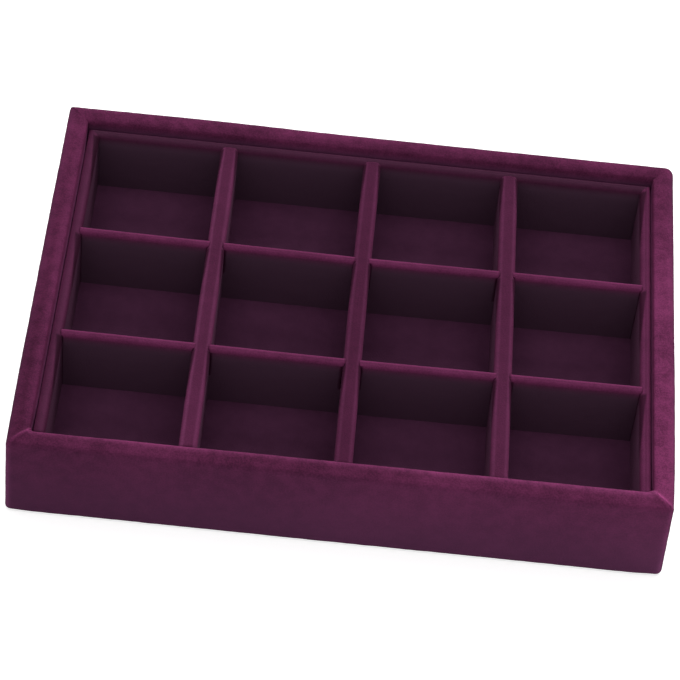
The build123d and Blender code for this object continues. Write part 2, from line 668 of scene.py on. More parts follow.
@dataclass
class FoldedVelvet:
    """A strip of velvet folded over a board, as one closed skin.

    Sizes are in metres. round is the radius of the pile side where a closed end turns its
    corners, and touch gives what the velvet does at a point. bend is how far the pile stands
    aside, and lift how much higher its top stands, each at the start, middle and end.
    """

    name: str
    section: Section
    run: Run
    round: float
    touch: Touching
    bend: Trend = STRAIGHT
    lift: Trend = STRAIGHT
    station: float = 1.1 * MM
    fewest: int = 4
    end_steps: int = 5
    end_turn: float = 78.0

    def stations(self) -> list[Pair]:
        """Rings of the skin along the run.

        Returns:
            Each ring's share along the run, and its turn in degrees at a closed end.
        """
        half = self.run.length / 2
        count = max(self.fewest, round(half / self.station))
        rings: list[Pair] = []
        for side, end in ((-1.0, self.run.first), (1.0, self.run.last)):
            stop = 1.0 - self.round / half if end is End.CLOSED else 1.0
            even = [i / count for i in range(count + 1)]
            crowded = [math.sin(math.pi / 2 * share) ** RING_POWER for share in even]
            mixed = [EVEN_RINGS * a + (1.0 - EVEN_RINGS) * b for a, b in zip(even, crowded)]
            part = [(side * stop * share, 0.0) for share in mixed]
            if end is End.CLOSED:
                turns = (self.end_turn * (i + 1) / self.end_steps for i in range(self.end_steps))
                part += [(side * stop, turn) for turn in turns]
            rings = part[:0:-1] + rings if side < 0 else rings + part
        return rings

    def ring(self, share: float, turn: float, glued: bool) -> tuple[list[Vector], list[Touch]]:
        """Points of one ring.

        Args:
            share: Place along the run.
            turn: Turn of a closed end, in degrees.
            glued: Whether this is the glued side, not the pile side.

        Returns:
            The ring's points, and what the velvet does at each.
        """
        off = self.section.thick if glued else 0.0
        radius = self.round - off
        inset = radius * (1.0 - math.cos(math.radians(turn))) + off
        forward = radius * math.sin(math.radians(turn))
        points, touches = [], []
        s = self.section
        for (depth, height), (nd, nh), free in zip(s.points, s.normals, s.free):
            d = depth - nd * inset
            h = height - nh * inset
            touch = Touch()
            if not glued:
                touch = self.touch(self.run.place(share, d, h), share, nd, nh)
                d += nd * touch.rise * free + shade(self.bend, share)
                h += nh * touch.rise * free + max(nh, 0.0) * shade(self.lift, share)
            points.append(self.run.place(share, d, h, -forward))
            touches.append(touch)
        return points, touches

    def profile(self, share: float, gap: float, foot: float, lift: float) -> list[Vector]:
        """Outline just outside the pile, for a cut that lets another skin lap over its shoulders.

        Args:
            share: Place along the run.
            gap: How far off the pile it stays.
            foot: Height of its lowest points.
            lift: How far the level middle of its top is raised.

        Returns:
            The outline's points.
        """
        points, _ = self.ring(share, 0.0, False)
        found = []
        for point, (nd, nh) in zip(points, self.section.normals):
            point = point + self.run.inward * (nd * gap) + Vector((0.0, 0.0, nh * gap))
            if point.z > foot:
                found.append(point + Vector((0.0, 0.0, lift if nh > LEVEL else 0.0)))
        for point, at in ((found[0], 0), (found[-1], len(found) + 1)):
            found.insert(at, Vector((point.x, point.y, foot)))
        return found

    def build(self) -> bpy.types.Object:
        """Build the closed skin.

        Returns:
            The mesh object, with what its pile does stored at each point.
        """
        rings = self.stations()
        count = len(self.section.points)
        points: list[Vector] = []
        touches: list[Touch] = []
        for glued in (False, True):
            for share, turn in rings:
                for whole, part in zip((points, touches), self.ring(share, turn, glued)):
                    whole += part
        back = len(rings) * count
        faces: list[Face] = []
        for r in range(len(rings) - 1):
            for c in range(count - 1):
                faces += both_sides(r * count + c, count, back)
            for hem, flip in ((0, False), (count - 1, True)):
                a = r * count + hem
                strip = (a, a + count, back + a + count, back + a)
                faces.append(strip[::-1] if flip else strip)
        for ring, end, flip in ((0, self.run.first, False), (len(rings) - 1, self.run.last, True)):
            faces += self.end_faces(ring * count, back, count, end, flip)
        obj = make_object(self.name, points, faces)
        give_shares(obj, touches)
        return obj

    @staticmethod
    def end_faces(base: int, back: int, count: int, end: End, flip: bool) -> list[Face]:
        """Faces that close one end of the skin.

        Args:
            base: First point of the end's ring.
            back: How far the glued side's points are from the pile side's.
            count: Points in a ring.
            end: How the end is finished.
            flip: Whether this is the last end, whose faces turn the other way.

        Returns:
            The faces.
        """
        last = base + count - 1
        if end is End.CLOSED:
            faces = [(base, back + base, back + last, last)]
            for a, b in zip(range(base, base + (count - 1) // 2), range(last, base, -1)):
                quad = (a, b, b - 1, a + 1) if b - 1 > a + 1 else (a, b, a + 1)
                faces += [quad, tuple(back + v for v in reversed(quad))]
        else:
            faces = [(a, back + a, back + a + 1, a + 1) for a in range(base, last)]
        return [face[::-1] for face in faces] if flip else faces


def both_sides(first: int, wide: int, back: int) -> tuple[Face, Face]:
    """One square of a skin's grid, on its pile side and on its glued side.

    Args:
        first: The square's first point.
        wide: Points in a row of the grid.
        back: How far the glued side's points are from the pile side's.

    Returns:
        The two faces.
    """
    quad = (first, first + 1, first + 1 + wide, first + wide)
    return quad, tuple(back + v for v in reversed(quad))


def make_object(name: str, points: Sequence[Vector], faces: Sequence[Face]) -> bpy.types.Object:
    """Make a smooth-shaded mesh object.

    Args:
        name: The object's name.
        points: Its points, in the row frame.
        faces: Its faces.

    Returns:
        The object, linked to the scene.
    """
    mesh = bpy.data.meshes.new(name)
    mesh.from_pydata([tuple(p) for p in points], [], list(faces))
    mesh.validate()
    mesh.shade_smooth()
    mesh.set_sharp_from_angle(angle=math.radians(SHARP_ANGLE))
    obj = bpy.data.objects.new(name, mesh)
    bpy.context.scene.collection.objects.link(obj)
    return obj


def give_shares(obj: bpy.types.Object, touches: Sequence[Touch]) -> None:
    """Store what the pile does at every point of a mesh, for its finish to read.

    Args:
        obj: The mesh object.
        touches: What the pile does at each of its points.
    """
    for name, values in list(zip(Touch._fields, zip(*touches)))[1:]:
        layer = obj.data.attributes.new(name, "FLOAT", "POINT")
        layer.data.foreach_set("value", np.asarray(values, np.float32))


def cut_prisms(obj: bpy.types.Object, profiles: Iterable[Sequence[Vector]], sweep: Vector) -> None:
    """Cut prisms out of a skin.

    Args:
        obj: The skin.
        profiles: Outline of each prism's middle.
        sweep: From each prism's middle to its end.
    """
    cutters = []
    for profile in profiles:
        count = len(profile)
        points = [p - sweep for p in profile] + [p + sweep for p in profile]
        faces = [tuple(range(count)), tuple(range(count, 2 * count))]
        faces += [(i, (i + 1) % count, (i + 1) % count + count, i + count) for i in range(count)]
        cutter = make_object(obj.name + "_cut", points, faces)
        shape = bmesh.new()
        shape.from_mesh(cutter.data)
        bmesh.ops.recalc_face_normals(shape, faces=shape.faces)
        shape.to_mesh(cutter.data)
        shape.free()
        cutters.append(cutter)
        cut = obj.modifiers.new("cut", "BOOLEAN")
        cut.operation = "DIFFERENCE"
        cut.solver = "EXACT"
        cut.object = cutter
    bpy.context.view_layer.update()
    graph = bpy.context.evaluated_depsgraph_get()
    mesh = bpy.data.meshes.new_from_object(obj.evaluated_get(graph))
    obj.modifiers.clear()
    obj.data = mesh
    for cutter in cutters:
        bpy.data.objects.remove(cutter)


def coat(obj: bpy.types.Object, finish: PileFinish | BoardFinish) -> None:
    """Give a piece its finish alone."""
    obj.data.materials.clear()
    obj.data.materials.append(finish.build())


def dress(obj: bpy.types.Object, finish: PileFinish | BoardFinish, body: Body) -> None:
    """Give a piece its finish and its body.

    Args:
        obj: The piece.
        finish: Its finish.
        body: Its body.
    """
    coat(obj, finish)
    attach(obj, body.value)


def height_of(node: str) -> float:
    """Height of a node's box."""
    low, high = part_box(node)
    return high.z - low.z


def ripple(spot: Vector, scale: float, seed: float) -> float:
    """Smooth noise from -1 to 1 at a point: so many ripples per metre, in the seed's own pattern."""
    return noise.noise(spot * scale + PATTERN_WAY * seed)


@dataclass(frozen=True)
class Unevenness:
    """How uneven a pile stands: height of its waves and of its fuzz, and the waves per metre."""

    waves: float
    fuzz: float
    scales: Pair

    def at(self, spot: Vector, seed: float) -> float:
        """How far the pile stands out at a point.

        Args:
            spot: The point.
            seed: Which pattern.

        Returns:
            The height, in metres.
        """
        slow, quick = (ripple(spot, scale, seed) for scale in self.scales)
        fuzz = sum(ripple(spot, scale, seed) for scale in FUZZ_SCALES)
        return self.waves * (slow + QUICK_SHARE * quick) + self.fuzz * fuzz


@dataclass(frozen=True)
class Corner:
    """Mitred corner of the tray.

    radius is its radius in plan. The seam has a raised bead of some width, with a painted highlight
    on it as strong as light, and a crease, and pinch is how far it draws the top of the outer faces in.
    """

    radius: float
    bead: float
    width: float
    light: float
    crease: float
    pinch: float


@dataclass(frozen=True)
class Bow:
    """Where the top of a wall's outer face stands out: at which share of its run, how far, how wide."""

    share: float
    size: float
    reach: float


@dataclass(frozen=True)
class Wall:
    """One wall of the tray, from its first corner to its last.

    turn is how far its plan is turned from the front wall's, in degrees, middle the place of the
    rim's highest line, as a share of its width, and inner_round the radius of the rim's inner
    edge. outer and inner are how much painted highlight the rim's two edges take, and top and face
    how much lighter or darker the rim and the outer face are painted, partly for the nap and partly
    as painted light and shade, each at the wall's start, middle and end. notch is how much painted
    light lifts the shade of the gap beside the insert, and swell how far the pile stands out there.
    square is how far the rim's inner edge stands out, which makes it squarer.
    """

    name: str
    turn: float
    corners: tuple[str, str]
    middle: float
    inner_round: float
    outer: Trend
    inner: Trend
    top: Trend
    face: Trend
    notch: float
    swell: float
    bow: Bow = Bow(0.0, 0.0, 1.0)
    square: Trend = STRAIGHT


def edge_highlight(turned: float, peak: float = EDGE_PEAK) -> float:
    """Share of the painted highlight over an edge, turned from 0 on top to 1 on the face, with its peak
    between.
    """
    off = turned - peak
    return math.exp(-((off / (EDGE_RISE * peak if off < 0 else EDGE_FALL)) ** 2))


def fade(value: float, start: float, stop: float) -> float:
    """Smooth step from 0 at start to 1 at stop."""
    share = min(1.0, max(0.0, (value - start) / (stop - start)))
    return share * share * (3.0 - 2.0 * share)


@dataclass
class TrayWraps:
    """Velvet wrapped round the tray's four rails and turned in underneath."""

    finishes: Finishes
    low: Vector = field(default_factory=lambda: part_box("front_wrap")[0])
    high: Vector = field(default_factory=lambda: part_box("front_wrap")[1])
    thick: float = field(default_factory=lambda: height_of("floor_velvet"))
    outer_round: float = 2.4 * MM
    crown: float = 11.0 * MM
    rim: float = field(init=False)
    foot: float = 0.9 * MM
    foot_steps: int = 5
    hem_step: float = 2.0 * MM
    mitre_share: float = 0.96
    spread: float = 0.3 * MM
    spread_reach: float = 12.0 * MM
    uneven: Unevenness = Unevenness(0.09 * MM, 0.05 * MM, (28.0, 90.0))
    seed: float = 3.0
    seed_step: float = 0.1
    seam_reach: float = 5.0 * MM
    crease_width: float = 0.3 * MM
    bead_outside: float = 0.5
    # Painted highlight down the upright corners of the outer faces: its width and strength.
    upright_width: float = 1.3 * MM
    upright_light: float = 0.6
    pinch_reach: float = 18.0 * MM
    # Painted highlight on the round at the foot.
    foot_light: float = 0.3
    # Painted grey on the outer face, at its top and at its foot, standing in for how light falls there.
    face_grey: Pair = (0.25, 0.85)
    swell_reach: Pair = (1.6 * MM, 3.8 * MM)
    # Painted light and painted grey in the shaded gap beside the insert: where they come in and end, and how
    # grey.
    notch_reach: Pair = (1.2 * MM, 4.2 * MM)
    notch_end: Pair = (6.0 * MM, 12.0 * MM)
    notch_grey: float = 0.8
    calm: float = 0.8
    corners: dict[str, Corner] = field(default_factory=lambda: {
        "front_left": Corner(2.2 * MM, 0.55 * MM, 1.0 * MM, 1.1, 0.1 * MM, 0.4 * MM),
        "front_right": Corner(2.8 * MM, 0.6 * MM, 1.45 * MM, 1.15, 0.1 * MM, 0.9 * MM),
        "back_right": Corner(3.4 * MM, 0.04 * MM, 0.95 * MM, 0.0, 0.02 * MM, 0.0),
        "back_left": Corner(1.4 * MM, 0.04 * MM, 0.95 * MM, 0.1, 0.02 * MM, 0.0),
    })

    def __post_init__(self) -> None:
        """Work out the rim's width."""
        self.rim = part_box("front_rail")[1].y + self.thick - self.low.y

    def walls(self) -> tuple[Wall, ...]:
        """The four walls, counter-clockwise from the front.

        Returns:
            The walls.
        """
        return (
            Wall(
                "front", 0.0, ("front_left", "front_right"), 0.6, 2.1 * MM,
                outer=(0.15, 0.15, 0.15), inner=(0.55, 0.7, 0.9), top=(-0.1, -0.25, -0.03),
                face=(0.08, 0.35, 0.4), notch=0.4, swell=0.25 * MM, square=(-0.08 * MM, 0.18 * MM, 0.65 * MM),
            ),
            Wall(
                "right", 90.0, ("front_right", "back_right"), 0.5, 1.2 * MM,
                outer=(0.25, 0.25, 0.15), inner=(0.05, 0.15, 0.05), top=(0.65, 0.4, 0.2), face=STRAIGHT,
                notch=1.1, swell=0.2 * MM,
            ),
            Wall(
                "back", 180.0, ("back_right", "back_left"), 0.4, 2.1 * MM,
                outer=(0.0, 0.0, 0.1), inner=(-0.2, -0.26, -0.04), top=(0.25, 0.25, 0.28), face=STRAIGHT,
                notch=0.45, swell=0.42 * MM, bow=Bow(0.6, 0.6 * MM, 42.0 * MM),
            ),
            Wall(
                "left", 270.0, ("back_left", "front_left"), 0.5, 1.2 * MM,
                outer=(0.1, 0.22, 0.3), inner=(0.1, 0.4, 0.35), top=(0.05, -0.43, -0.43), face=STRAIGHT,
                notch=0.7, swell=0.48 * MM,
            ),
        )

    def section(self, wall: Wall) -> Section:
        """Cross-section from the inner hem, over the rim, down the face and in underneath.

        Args:
            wall: The wall.

        Returns:
            The section of the pile side.
        """
        arch = Arch(self.rim, self.outer_round, wall.inner_round, self.crown, wall.middle * self.rim)
        inner_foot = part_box("base_board")[1].z
        floor_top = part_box("floor_velvet")[1].z
        turn_in = self.high.y - self.low.y
        top, foot, f = self.high.z, self.low.z, self.foot
        s = Section(self.thick)
        s.line((arch.width, inner_foot), (arch.width, floor_top), free=0.0)
        s.over(arch, top, floor_top, foot + f)
        s.arc((f, foot + f), f, 180.0, 270.0, self.foot_steps)
        s.line((f, foot), (turn_in, foot), self.hem_step, 0.0)
        s.add((turn_in, foot), (0.0, -1.0))
        return s

    def touch(self, wall: Wall, run: Run, spot: Vector, share: float, nd: float, nh: float) -> Touch:
        """What a wall's velvet does at a point.

        Args:
            wall: The wall.
            run: Its run.
            spot: The point.
            share: Its place along the run.
            nd: Part of its normal along the depth.
            nh: Part of its normal along the height.

        Returns:
            What the velvet does.
        """
        seed = self.seed + self.seed_step * wall.turn
        corner = self.corners[wall.corners[share >= 0]]
        tall = self.high.z - self.low.z
        off = (1.0 - abs(share)) * run.length / 2
        down = self.high.z - spot.z
        near = max(0.0, 1.0 - down / self.seam_reach)
        depth = (spot - run.start).dot(run.inward) / self.rim
        bead = near * math.exp(-((off / corner.width) ** 2)) * (self.bead_outside + min(depth, 1.0))
        crease = near * math.exp(-((off / self.crease_width) ** 2))
        out, into = max(0.0, -nd), max(0.0, nd)
        aside = (share - wall.bow.share) * run.length / 2 / wall.bow.reach
        bow = wall.bow.size * math.exp(-(aside**2)) - corner.pinch * math.exp(-off / self.pinch_reach)
        spread = self.spread * fade(down, tall / 2, tall) * fade(off, 0.0, self.spread_reach)
        swell = into * fade(down, *self.swell_reach) * fade(off, 0.0, self.pinch_reach)
        notch = into * fade(down, *self.notch_reach) * (1.0 - fade(down, *self.notch_end))
        rise = self.uneven.at(spot, seed) * (1.0 - self.calm * swell)
        rise += bead * corner.bead - crease * corner.crease
        rise += (swell * wall.swell + out * bow) * (1.0 - down / tall) + out * spread
        # Twice the product of the normal's two parts is 1 halfway round the edge.
        rise += 2.0 * into * max(nh, 0.0) * shade(wall.square, share)
        # Painted highlights down the upright corners, over the rim's edges, at the foot and on the seam's
        # bead, with painted light in the shaded gap beside the insert, and painted grey on the highlights.
        upright = out * self.upright_light * math.exp(-((off / self.upright_width) ** 2))
        if nh > 0:
            edge = edge_highlight(-nd) * shade(wall.outer, share) + edge_highlight(nd) * shade(wall.inner, share)
        else:
            edge = self.foot_light * nh * nh * out
        painted_grey = EDGE_GREY * edge
        edge = max(edge, upright, bead * corner.light) + min(edge, 0.0) + notch * wall.notch
        # Painted light and shade on the rim and the outer face, partly for the nap, and painted grey on the
        # outer face and in the gap.
        nap_and_painted_light = max(nh, 0.0) * shade(wall.top, share) + out * shade(wall.face, share)
        face = self.face_grey[0] + (self.face_grey[1] - self.face_grey[0]) * down / tall
        painted_grey = max(painted_grey, out * face, self.notch_grey * into * fade(down, *self.notch_reach))
        return Touch(rise, edge, nap_and_painted_light, painted_grey)

    def build(self) -> list[bpy.types.Object]:
        """Build and dress the four wraps.

        Returns:
            The wraps.
        """
        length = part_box("right_wrap")[1].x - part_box("left_wrap")[0].x
        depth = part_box("back_wrap")[1].y - self.low.y
        made = []
        for wall in self.walls():
            section = self.section(wall)
            spin = Matrix.Rotation(math.radians(wall.turn), 3, "Z")
            span, away = (depth, length) if wall.name in ("left", "right") else (length, depth)
            run = Run(
                spin @ Vector((-span / 2, -away / 2, 0.0)),
                spin @ Vector((1.0, 0.0, 0.0)),
                spin @ Vector((0.0, 1.0, 0.0)),
                span,
                End.MITRE,
                End.MITRE,
                tuple(self.corners[name].radius for name in wall.corners),
            )
            touch = partial(self.touch, wall, run)
            obj = FoldedVelvet(wall.name + "_velvet_wrap", section, run, self.outer_round, touch).build()
            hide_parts(wall.name + "_wrap")
            dress(obj, self.finishes.wrap, Body.TRAY)
            made.append(obj)
        return made


@dataclass
class TrayFloor:
    """Velvet-covered card that makes the floor of every compartment."""

    finishes: Finishes
    low: Vector = field(default_factory=lambda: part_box("floor_velvet")[0])
    high: Vector = field(default_factory=lambda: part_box("floor_velvet")[1])
    step: float = 2.0 * MM
    pillow: float = 0.22 * MM
    wave: float = 0.06 * MM
    wave_scale: float = 60.0
    seed: float = 9.0
    shoulder: float = 5.0 * MM
    # Painted shade on the floor at the front of each row, and the distances over which it fades.
    front_shade: float = -0.37
    shade_reach: Pair = (22.0 * MM, 48.0 * MM)

    def bays(self) -> tuple[list[Pair], list[Pair]]:
        """Clear spans between the dividers.

        Returns:
            The columns' and the rows' spans.
        """
        columns = [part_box("left_liner_velvet")[1].x]
        for i in (1, 2, 3):
            low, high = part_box(f"long_divider_velvet_{i}")
            columns += [low.x, high.x]
        columns.append(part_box("right_liner_velvet")[0].x)
        rows = [self.low.y]
        for i in (1, 2):
            low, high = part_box(f"cross_divider_velvet_{i}")
            rows += [low.y, high.y]
        rows.append(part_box("back_liner_velvet")[0].y)
        return list(zip(columns[::2], columns[1::2])), list(zip(rows[::2], rows[1::2]))

    def rise(self, spot: Vector, bays: tuple[list[Pair], list[Pair]]) -> float:
        """How far the pile stands up between the dividers that press on it.

        Args:
            spot: Place on the floor.
            bays: The columns' and rows' spans.

        Returns:
            The height above the pressed pile.
        """
        gap = max(
            min(spot.x - x0, x1 - spot.x, spot.y - y0, y1 - spot.y) for (x0, x1), (y0, y1) in product(*bays)
        )
        soft = fade(gap, 0.0, self.shoulder)
        return soft * (self.pillow + self.wave * ripple(spot, self.wave_scale, self.seed))

    def build(self) -> list[bpy.types.Object]:
        """Build and dress the floor.

        Returns:
            The floor velvet, as the only piece of a list.
        """
        bays = self.bays()
        xs = self.lines(self.low.x, self.high.x, bays[0])
        ys = self.lines(self.low.y, self.high.y, bays[1])
        top = [Vector((x, y, self.high.z)) for y in ys for x in xs]
        points = [p + Vector((0.0, 0.0, self.rise(p, bays))) for p in top]
        points += [Vector((p.x, p.y, self.low.z)) for p in top]
        back, wide, tall = len(top), len(xs), len(ys)
        faces: list[Face] = []
        for j in range(tall - 1):
            for i in range(wide - 1):
                faces += both_sides(j * wide + i, wide, back)
        border = [*range(wide), *range(2 * wide - 1, back, wide)]
        border += [*range(back - 2, back - wide - 1, -1), *range(back - 2 * wide, 0, -wide)]
        for a, b in zip(border, border[1:] + border[:1]):
            faces.append((b, a, back + a, back + b))
        obj = make_object("floor_velvet_laid", points, faces)
        give_shares(obj, [Touch(nap_and_painted_light=self.nap_and_painted_light(p, bays[1])) for p in points])
        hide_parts("floor_velvet")
        dress(obj, self.finishes.floor, Body.TRAY)
        return [obj]

    def nap_and_painted_light(self, spot: Vector, rows: list[Pair]) -> float:
        """Painted shade on the floor, darker towards the front of each row."""
        back = min((spot.y - y0 for y0, _ in rows if spot.y >= y0), default=0.0)
        return self.front_shade * (1.0 - fade(back, *self.shade_reach))

    def lines(self, low: float, high: float, spans: list[Pair]) -> list[float]:
        """Grid lines across the floor, with one on each edge of each span.

        Args:
            low: First line.
            high: Last line.
            spans: Spans whose edges need a line.

        Returns:
            The lines, in order.
        """
        stops = sorted({low, high, *[v for span in spans for v in span]})
        out = []
        for a, b in zip(stops, stops[1:]):
            count = max(1, round((b - a) / self.step))
            out += [a + (b - a) * i / count for i in range(count)]
        return out + [high]


@dataclass(frozen=True)
class Nap:
    """How the pile lies on one bar of the insert.

    outer and inner are how much painted highlight the two edges of the top take, peak how far an
    edge is turned where that highlight is strongest, and top how much lighter or darker the top is
    painted. sides is how much lighter or darker the outer and the inner face are painted, the pair
    after it how much painted grey of shade those two take, and swell how far they stand out. The
    share after swell is how much painted grey of shade the top takes. glow is painted light down the
    top of the faces, over glow_reach, and notch painted light on the outer face, in the shaded gap
    beside the tray's wall. The last pair places a painted shadow that a bar crossing this one casts
    forward: how far the surface is turned where the shadow starts beside that bar, and how much
    farther per metre.
    """

    outer: float = 0.0
    inner: float = 0.0
    peak: float = EDGE_PEAK
    top: float = 0.0
    sides: Pair = (0.0, 0.0)
    shade_grey: Pair = (0.8, 0.8)
    swell: Pair = (0.0, 0.0)
    top_grey: float = 0.0
    glow: float = 0.0
    glow_reach: float = 4.5 * MM
    notch: float = 0.0
    shelter: Pair = (0.0, 0.0)


@dataclass(frozen=True)
class Bar:
    """One covered board of the insert.

    along is 0 for a bar along X and 1 for one along Y. crown is the radius of its top's middle,
    outer_round that of its top's outer edge, and middle the place of its highest line as a share
    of its width. flip says whether its outer face is the one with the higher coordinate, laps how
    far its ends lap over the bars that they meet, bend how far its pile stands aside at the
    start, middle and end, and lift how much higher its top stands there.
    """

    node: str
    along: int
    ends: tuple[End, End]
    crown: float
    nap: Nap
    flip: bool = False
    laps: Pair = (0.0, 0.0)
    bend: Trend = STRAIGHT
    lift: Trend = STRAIGHT
    outer_round: float = 1.92 * MM
    middle: float = 0.5


@dataclass
class Insert:
    """Lift-out insert: three covered liner strips and the covered dividers, halved over each other."""

    finishes: Finishes
    thick: float = field(default_factory=lambda: height_of("floor_velvet"))
    round: float = 1.92 * MM
    liner_crown: float = 8.0 * MM
    long_crown: float = 30.0 * MM
    cross_crown: float = 2.6 * MM
    uneven: Unevenness = Unevenness(0.06 * MM, 0.03 * MM, (35.0, 110.0))
    hem_reach: float = 3.0 * MM
    swell_reach: Pair = (0.5 * MM, 1.8 * MM)
    calm: float = 0.8
    # Depth over which the painted grey of shade comes in down a bar's faces.
    grey_reach: Pair = (0.5 * MM, 5.0 * MM)
    # Depths where the painted light in the gap beside the tray's wall fades out.
    notch_end: Pair = (3.0 * MM, 8.0 * MM)
    # Painted shadow that a crossing bar casts forward: how dark, how soft its edge, and the depths where it
    # fades out.
    cast_shadow_dark: float = 0.66
    cast_shadow_soft: float = 0.2
    cast_shadow_end: Pair = (2.0 * MM, 6.0 * MM)
    seed: float = 11.0
    patterns: int = 17
    slot_gap: float = 0.1 * MM
    lap_gap: float = 0.05 * MM
    lap: float = 1.9 * MM
    overrun: float = 5.0 * MM
    skins: dict[str, FoldedVelvet] = field(default_factory=dict)
    fronts: list[float] = field(init=False)

    def __post_init__(self) -> None:
        """Find the fronts of the bars that cross others."""
        crossing = ("cross_divider_velvet_1", "cross_divider_velvet_2", "back_liner_velvet")
        self.fronts = [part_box(node)[0].y for node in crossing]

    def touch(
        self, bar: Bar, low: float, high: float, spot: Vector, share: float, nd: float, nh: float
    ) -> Touch:
        """What a bar's velvet does at a point.

        Args:
            bar: The bar.
            low: Height of its hems, which stay flat.
            high: Height of its top.
            spot: The point.
            share: Its place along the run, which changes nothing here.
            nd: Part of its normal along the depth.
            nh: Part of its normal along the height.

        Returns:
            What the velvet does.
        """
        nap = bar.nap
        seed = self.seed + sum(map(ord, bar.node)) % self.patterns
        hem = min(1.0, (spot.z - low) / self.hem_reach)
        down = high - spot.z
        up, out, into = max(nh, 0.0), max(-nd, 0.0), max(nd, 0.0)
        swell = (out * nap.swell[0] + into * nap.swell[1]) * fade(down, *self.swell_reach)
        calm = 1.0 - self.calm * out * fade(down, *self.swell_reach) if nap.notch else 1.0
        rise = self.uneven.at(spot, seed) * calm + swell * (1.0 - down / (high - low))
        # Painted highlight over the top's edges, painted grey of shade, painted light down the faces and in
        # the gap beside the wall, and painted light and shade on the top and faces.
        edge = edge_highlight(-nd, nap.peak) * nap.outer + edge_highlight(nd, nap.peak) * nap.inner if nh > 0 else 0.0
        painted_grey = (out * nap.shade_grey[0] + into * nap.shade_grey[1]) * fade(down, *self.grey_reach)
        painted_grey = max(EDGE_GREY * edge, painted_grey, nap.top_grey * up)
        edge += nap.glow * (out + into) * math.exp(-((down / nap.glow_reach) ** 2))
        edge += nap.notch * out**3 * (1.0 - fade(down, *self.notch_end))
        nap_and_painted_light = nap.top * up + out * out * nap.sides[0] + into * into * nap.sides[1]
        # Painted shadow that the next crossing bar behind casts forward over the faces and edges.
        if any(nap.shelter):
            ahead = min((front - spot.y for front in self.fronts if front > spot.y), default=math.inf)
            turned = (nd if nap.notch else abs(nd)) - nap.shelter[0] - nap.shelter[1] * ahead
            dark = self.cast_shadow_dark * fade(turned, -self.cast_shadow_soft, self.cast_shadow_soft)
            left = 1.0 - dark * (1.0 - fade(down, *self.cast_shadow_end))
            edge, nap_and_painted_light = edge * left, (1.0 + nap_and_painted_light) * left - 1.0
        return Touch(hem * rise, edge, nap_and_painted_light, painted_grey)

    def cover(self, bar: Bar) -> bpy.types.Object:
        """Build and dress the velvet of one bar.

        Args:
            bar: The bar, whose node's box gives its place and size.

        Returns:
            The velvet.
        """
        low, high = (corner.copy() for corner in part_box(bar.node))
        along, across = bar.along, 1 - bar.along
        low[along] -= bar.laps[0]
        high[along] += bar.laps[1]
        size = high - low
        way, inward, start = Vector(STRAIGHT), Vector(STRAIGHT), Vector(STRAIGHT)
        way[along] = 1.0
        inward[across] = -1.0 if bar.flip else 1.0
        start[along] = low[along]
        start[across] = high[across] if bar.flip else low[across]
        width = size[across]
        arch = Arch(width, bar.outer_round, self.round, bar.crown, width * bar.middle)
        run = Run(start, way, inward, size[along], *bar.ends)
        section = Section(self.thick)
        section.over(arch, high.z, low.z, low.z)
        section.add((0.0, low.z), (-1.0, 0.0), 1.0)
        touch = partial(self.touch, bar, low.z, high.z)
        skin = FoldedVelvet(bar.node + "_fold", section, run, self.round, touch, bar.bend, bar.lift)
        self.skins[bar.node] = skin
        obj = skin.build()
        if (along == 0) == bar.flip:
            obj.data.flip_normals()
        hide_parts(bar.node)
        dress(obj, self.finishes.insert, Body.INSERT)
        return obj

    def fit(
        self, bar: Bar, obj: bpy.types.Object, under: Iterable[str], slots: Iterable[str], middle: float
    ) -> None:
        """Cut a divider's velvet to fit the bars that it meets.

        Args:
            bar: The divider.
            obj: Its velvet.
            under: Nodes of the bars whose shoulders it laps over.
            slots: Nodes of the dividers that it sits over, in a slot from below.
            middle: Height where two dividers' halves meet.
        """
        low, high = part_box(bar.node)
        centre = (low + high) / 2
        along, across = bar.along, 1 - bar.along
        profiles = []
        for node in under:
            skin = self.skins[node]
            share = (centre - skin.run.start).dot(skin.run.along) / skin.run.length * 2.0 - 1.0
            foot = (middle if "divider" in node else low.z - self.overrun) - self.slot_gap
            outline = skin.profile(share, self.lap_gap, foot, self.overrun)
            for point in outline:
                point[across] = centre[across]
            profiles.append(outline)
        for node in slots:
            near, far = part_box(node)
            first, last = near[along] - self.slot_gap, far[along] + self.slot_gap
            foot, head = low.z - self.overrun, middle + self.slot_gap
            outline = []
            for at, height in ((first, foot), (last, foot), (last, head), (first, head)):
                outline.append(centre.copy())
                outline[-1][along] = at
                outline[-1].z = height
            profiles.append(outline)
        sweep = Vector(STRAIGHT)
        sweep[across] = (high - low)[across] / 2 + self.overrun
        cut_prisms(obj, profiles, sweep)

    def liners(self) -> tuple[Bar, ...]:
        """The three strips of the liner.

        Returns:
            The strips.
        """
        side, back = (End.CLOSED, End.MITRE), (End.MITRE, End.MITRE)
        # Painted shadow that each crossing bar casts forward onto the liners' inner faces.
        shelter = (-0.1, 40.0)
        left_nap = Nap(inner=0.1, top=0.02, top_grey=0.12, sides=(0.0, -0.4), shade_grey=(0.8, 1.0), notch=0.35,
                       swell=(0.38 * MM, 0.0), shelter=shelter)
        right_nap = Nap(outer=0.3, inner=0.35, top=0.03, glow=0.25, notch=0.25,
                        swell=(0.14 * MM, 0.0), shelter=shelter)
        back_nap = Nap(top=-0.33, top_grey=0.3, sides=(0.0, -0.05), shade_grey=(0.6, 1.0), glow=0.35, notch=0.7,
                       swell=(0.33 * MM, 0.0))
        return (
            Bar("left_liner_velvet", 1, side, self.liner_crown, left_nap),
            Bar("right_liner_velvet", 1, side, self.liner_crown, right_nap, flip=True),
            Bar("back_liner_velvet", 0, back, self.liner_crown, back_nap, flip=True),
        )

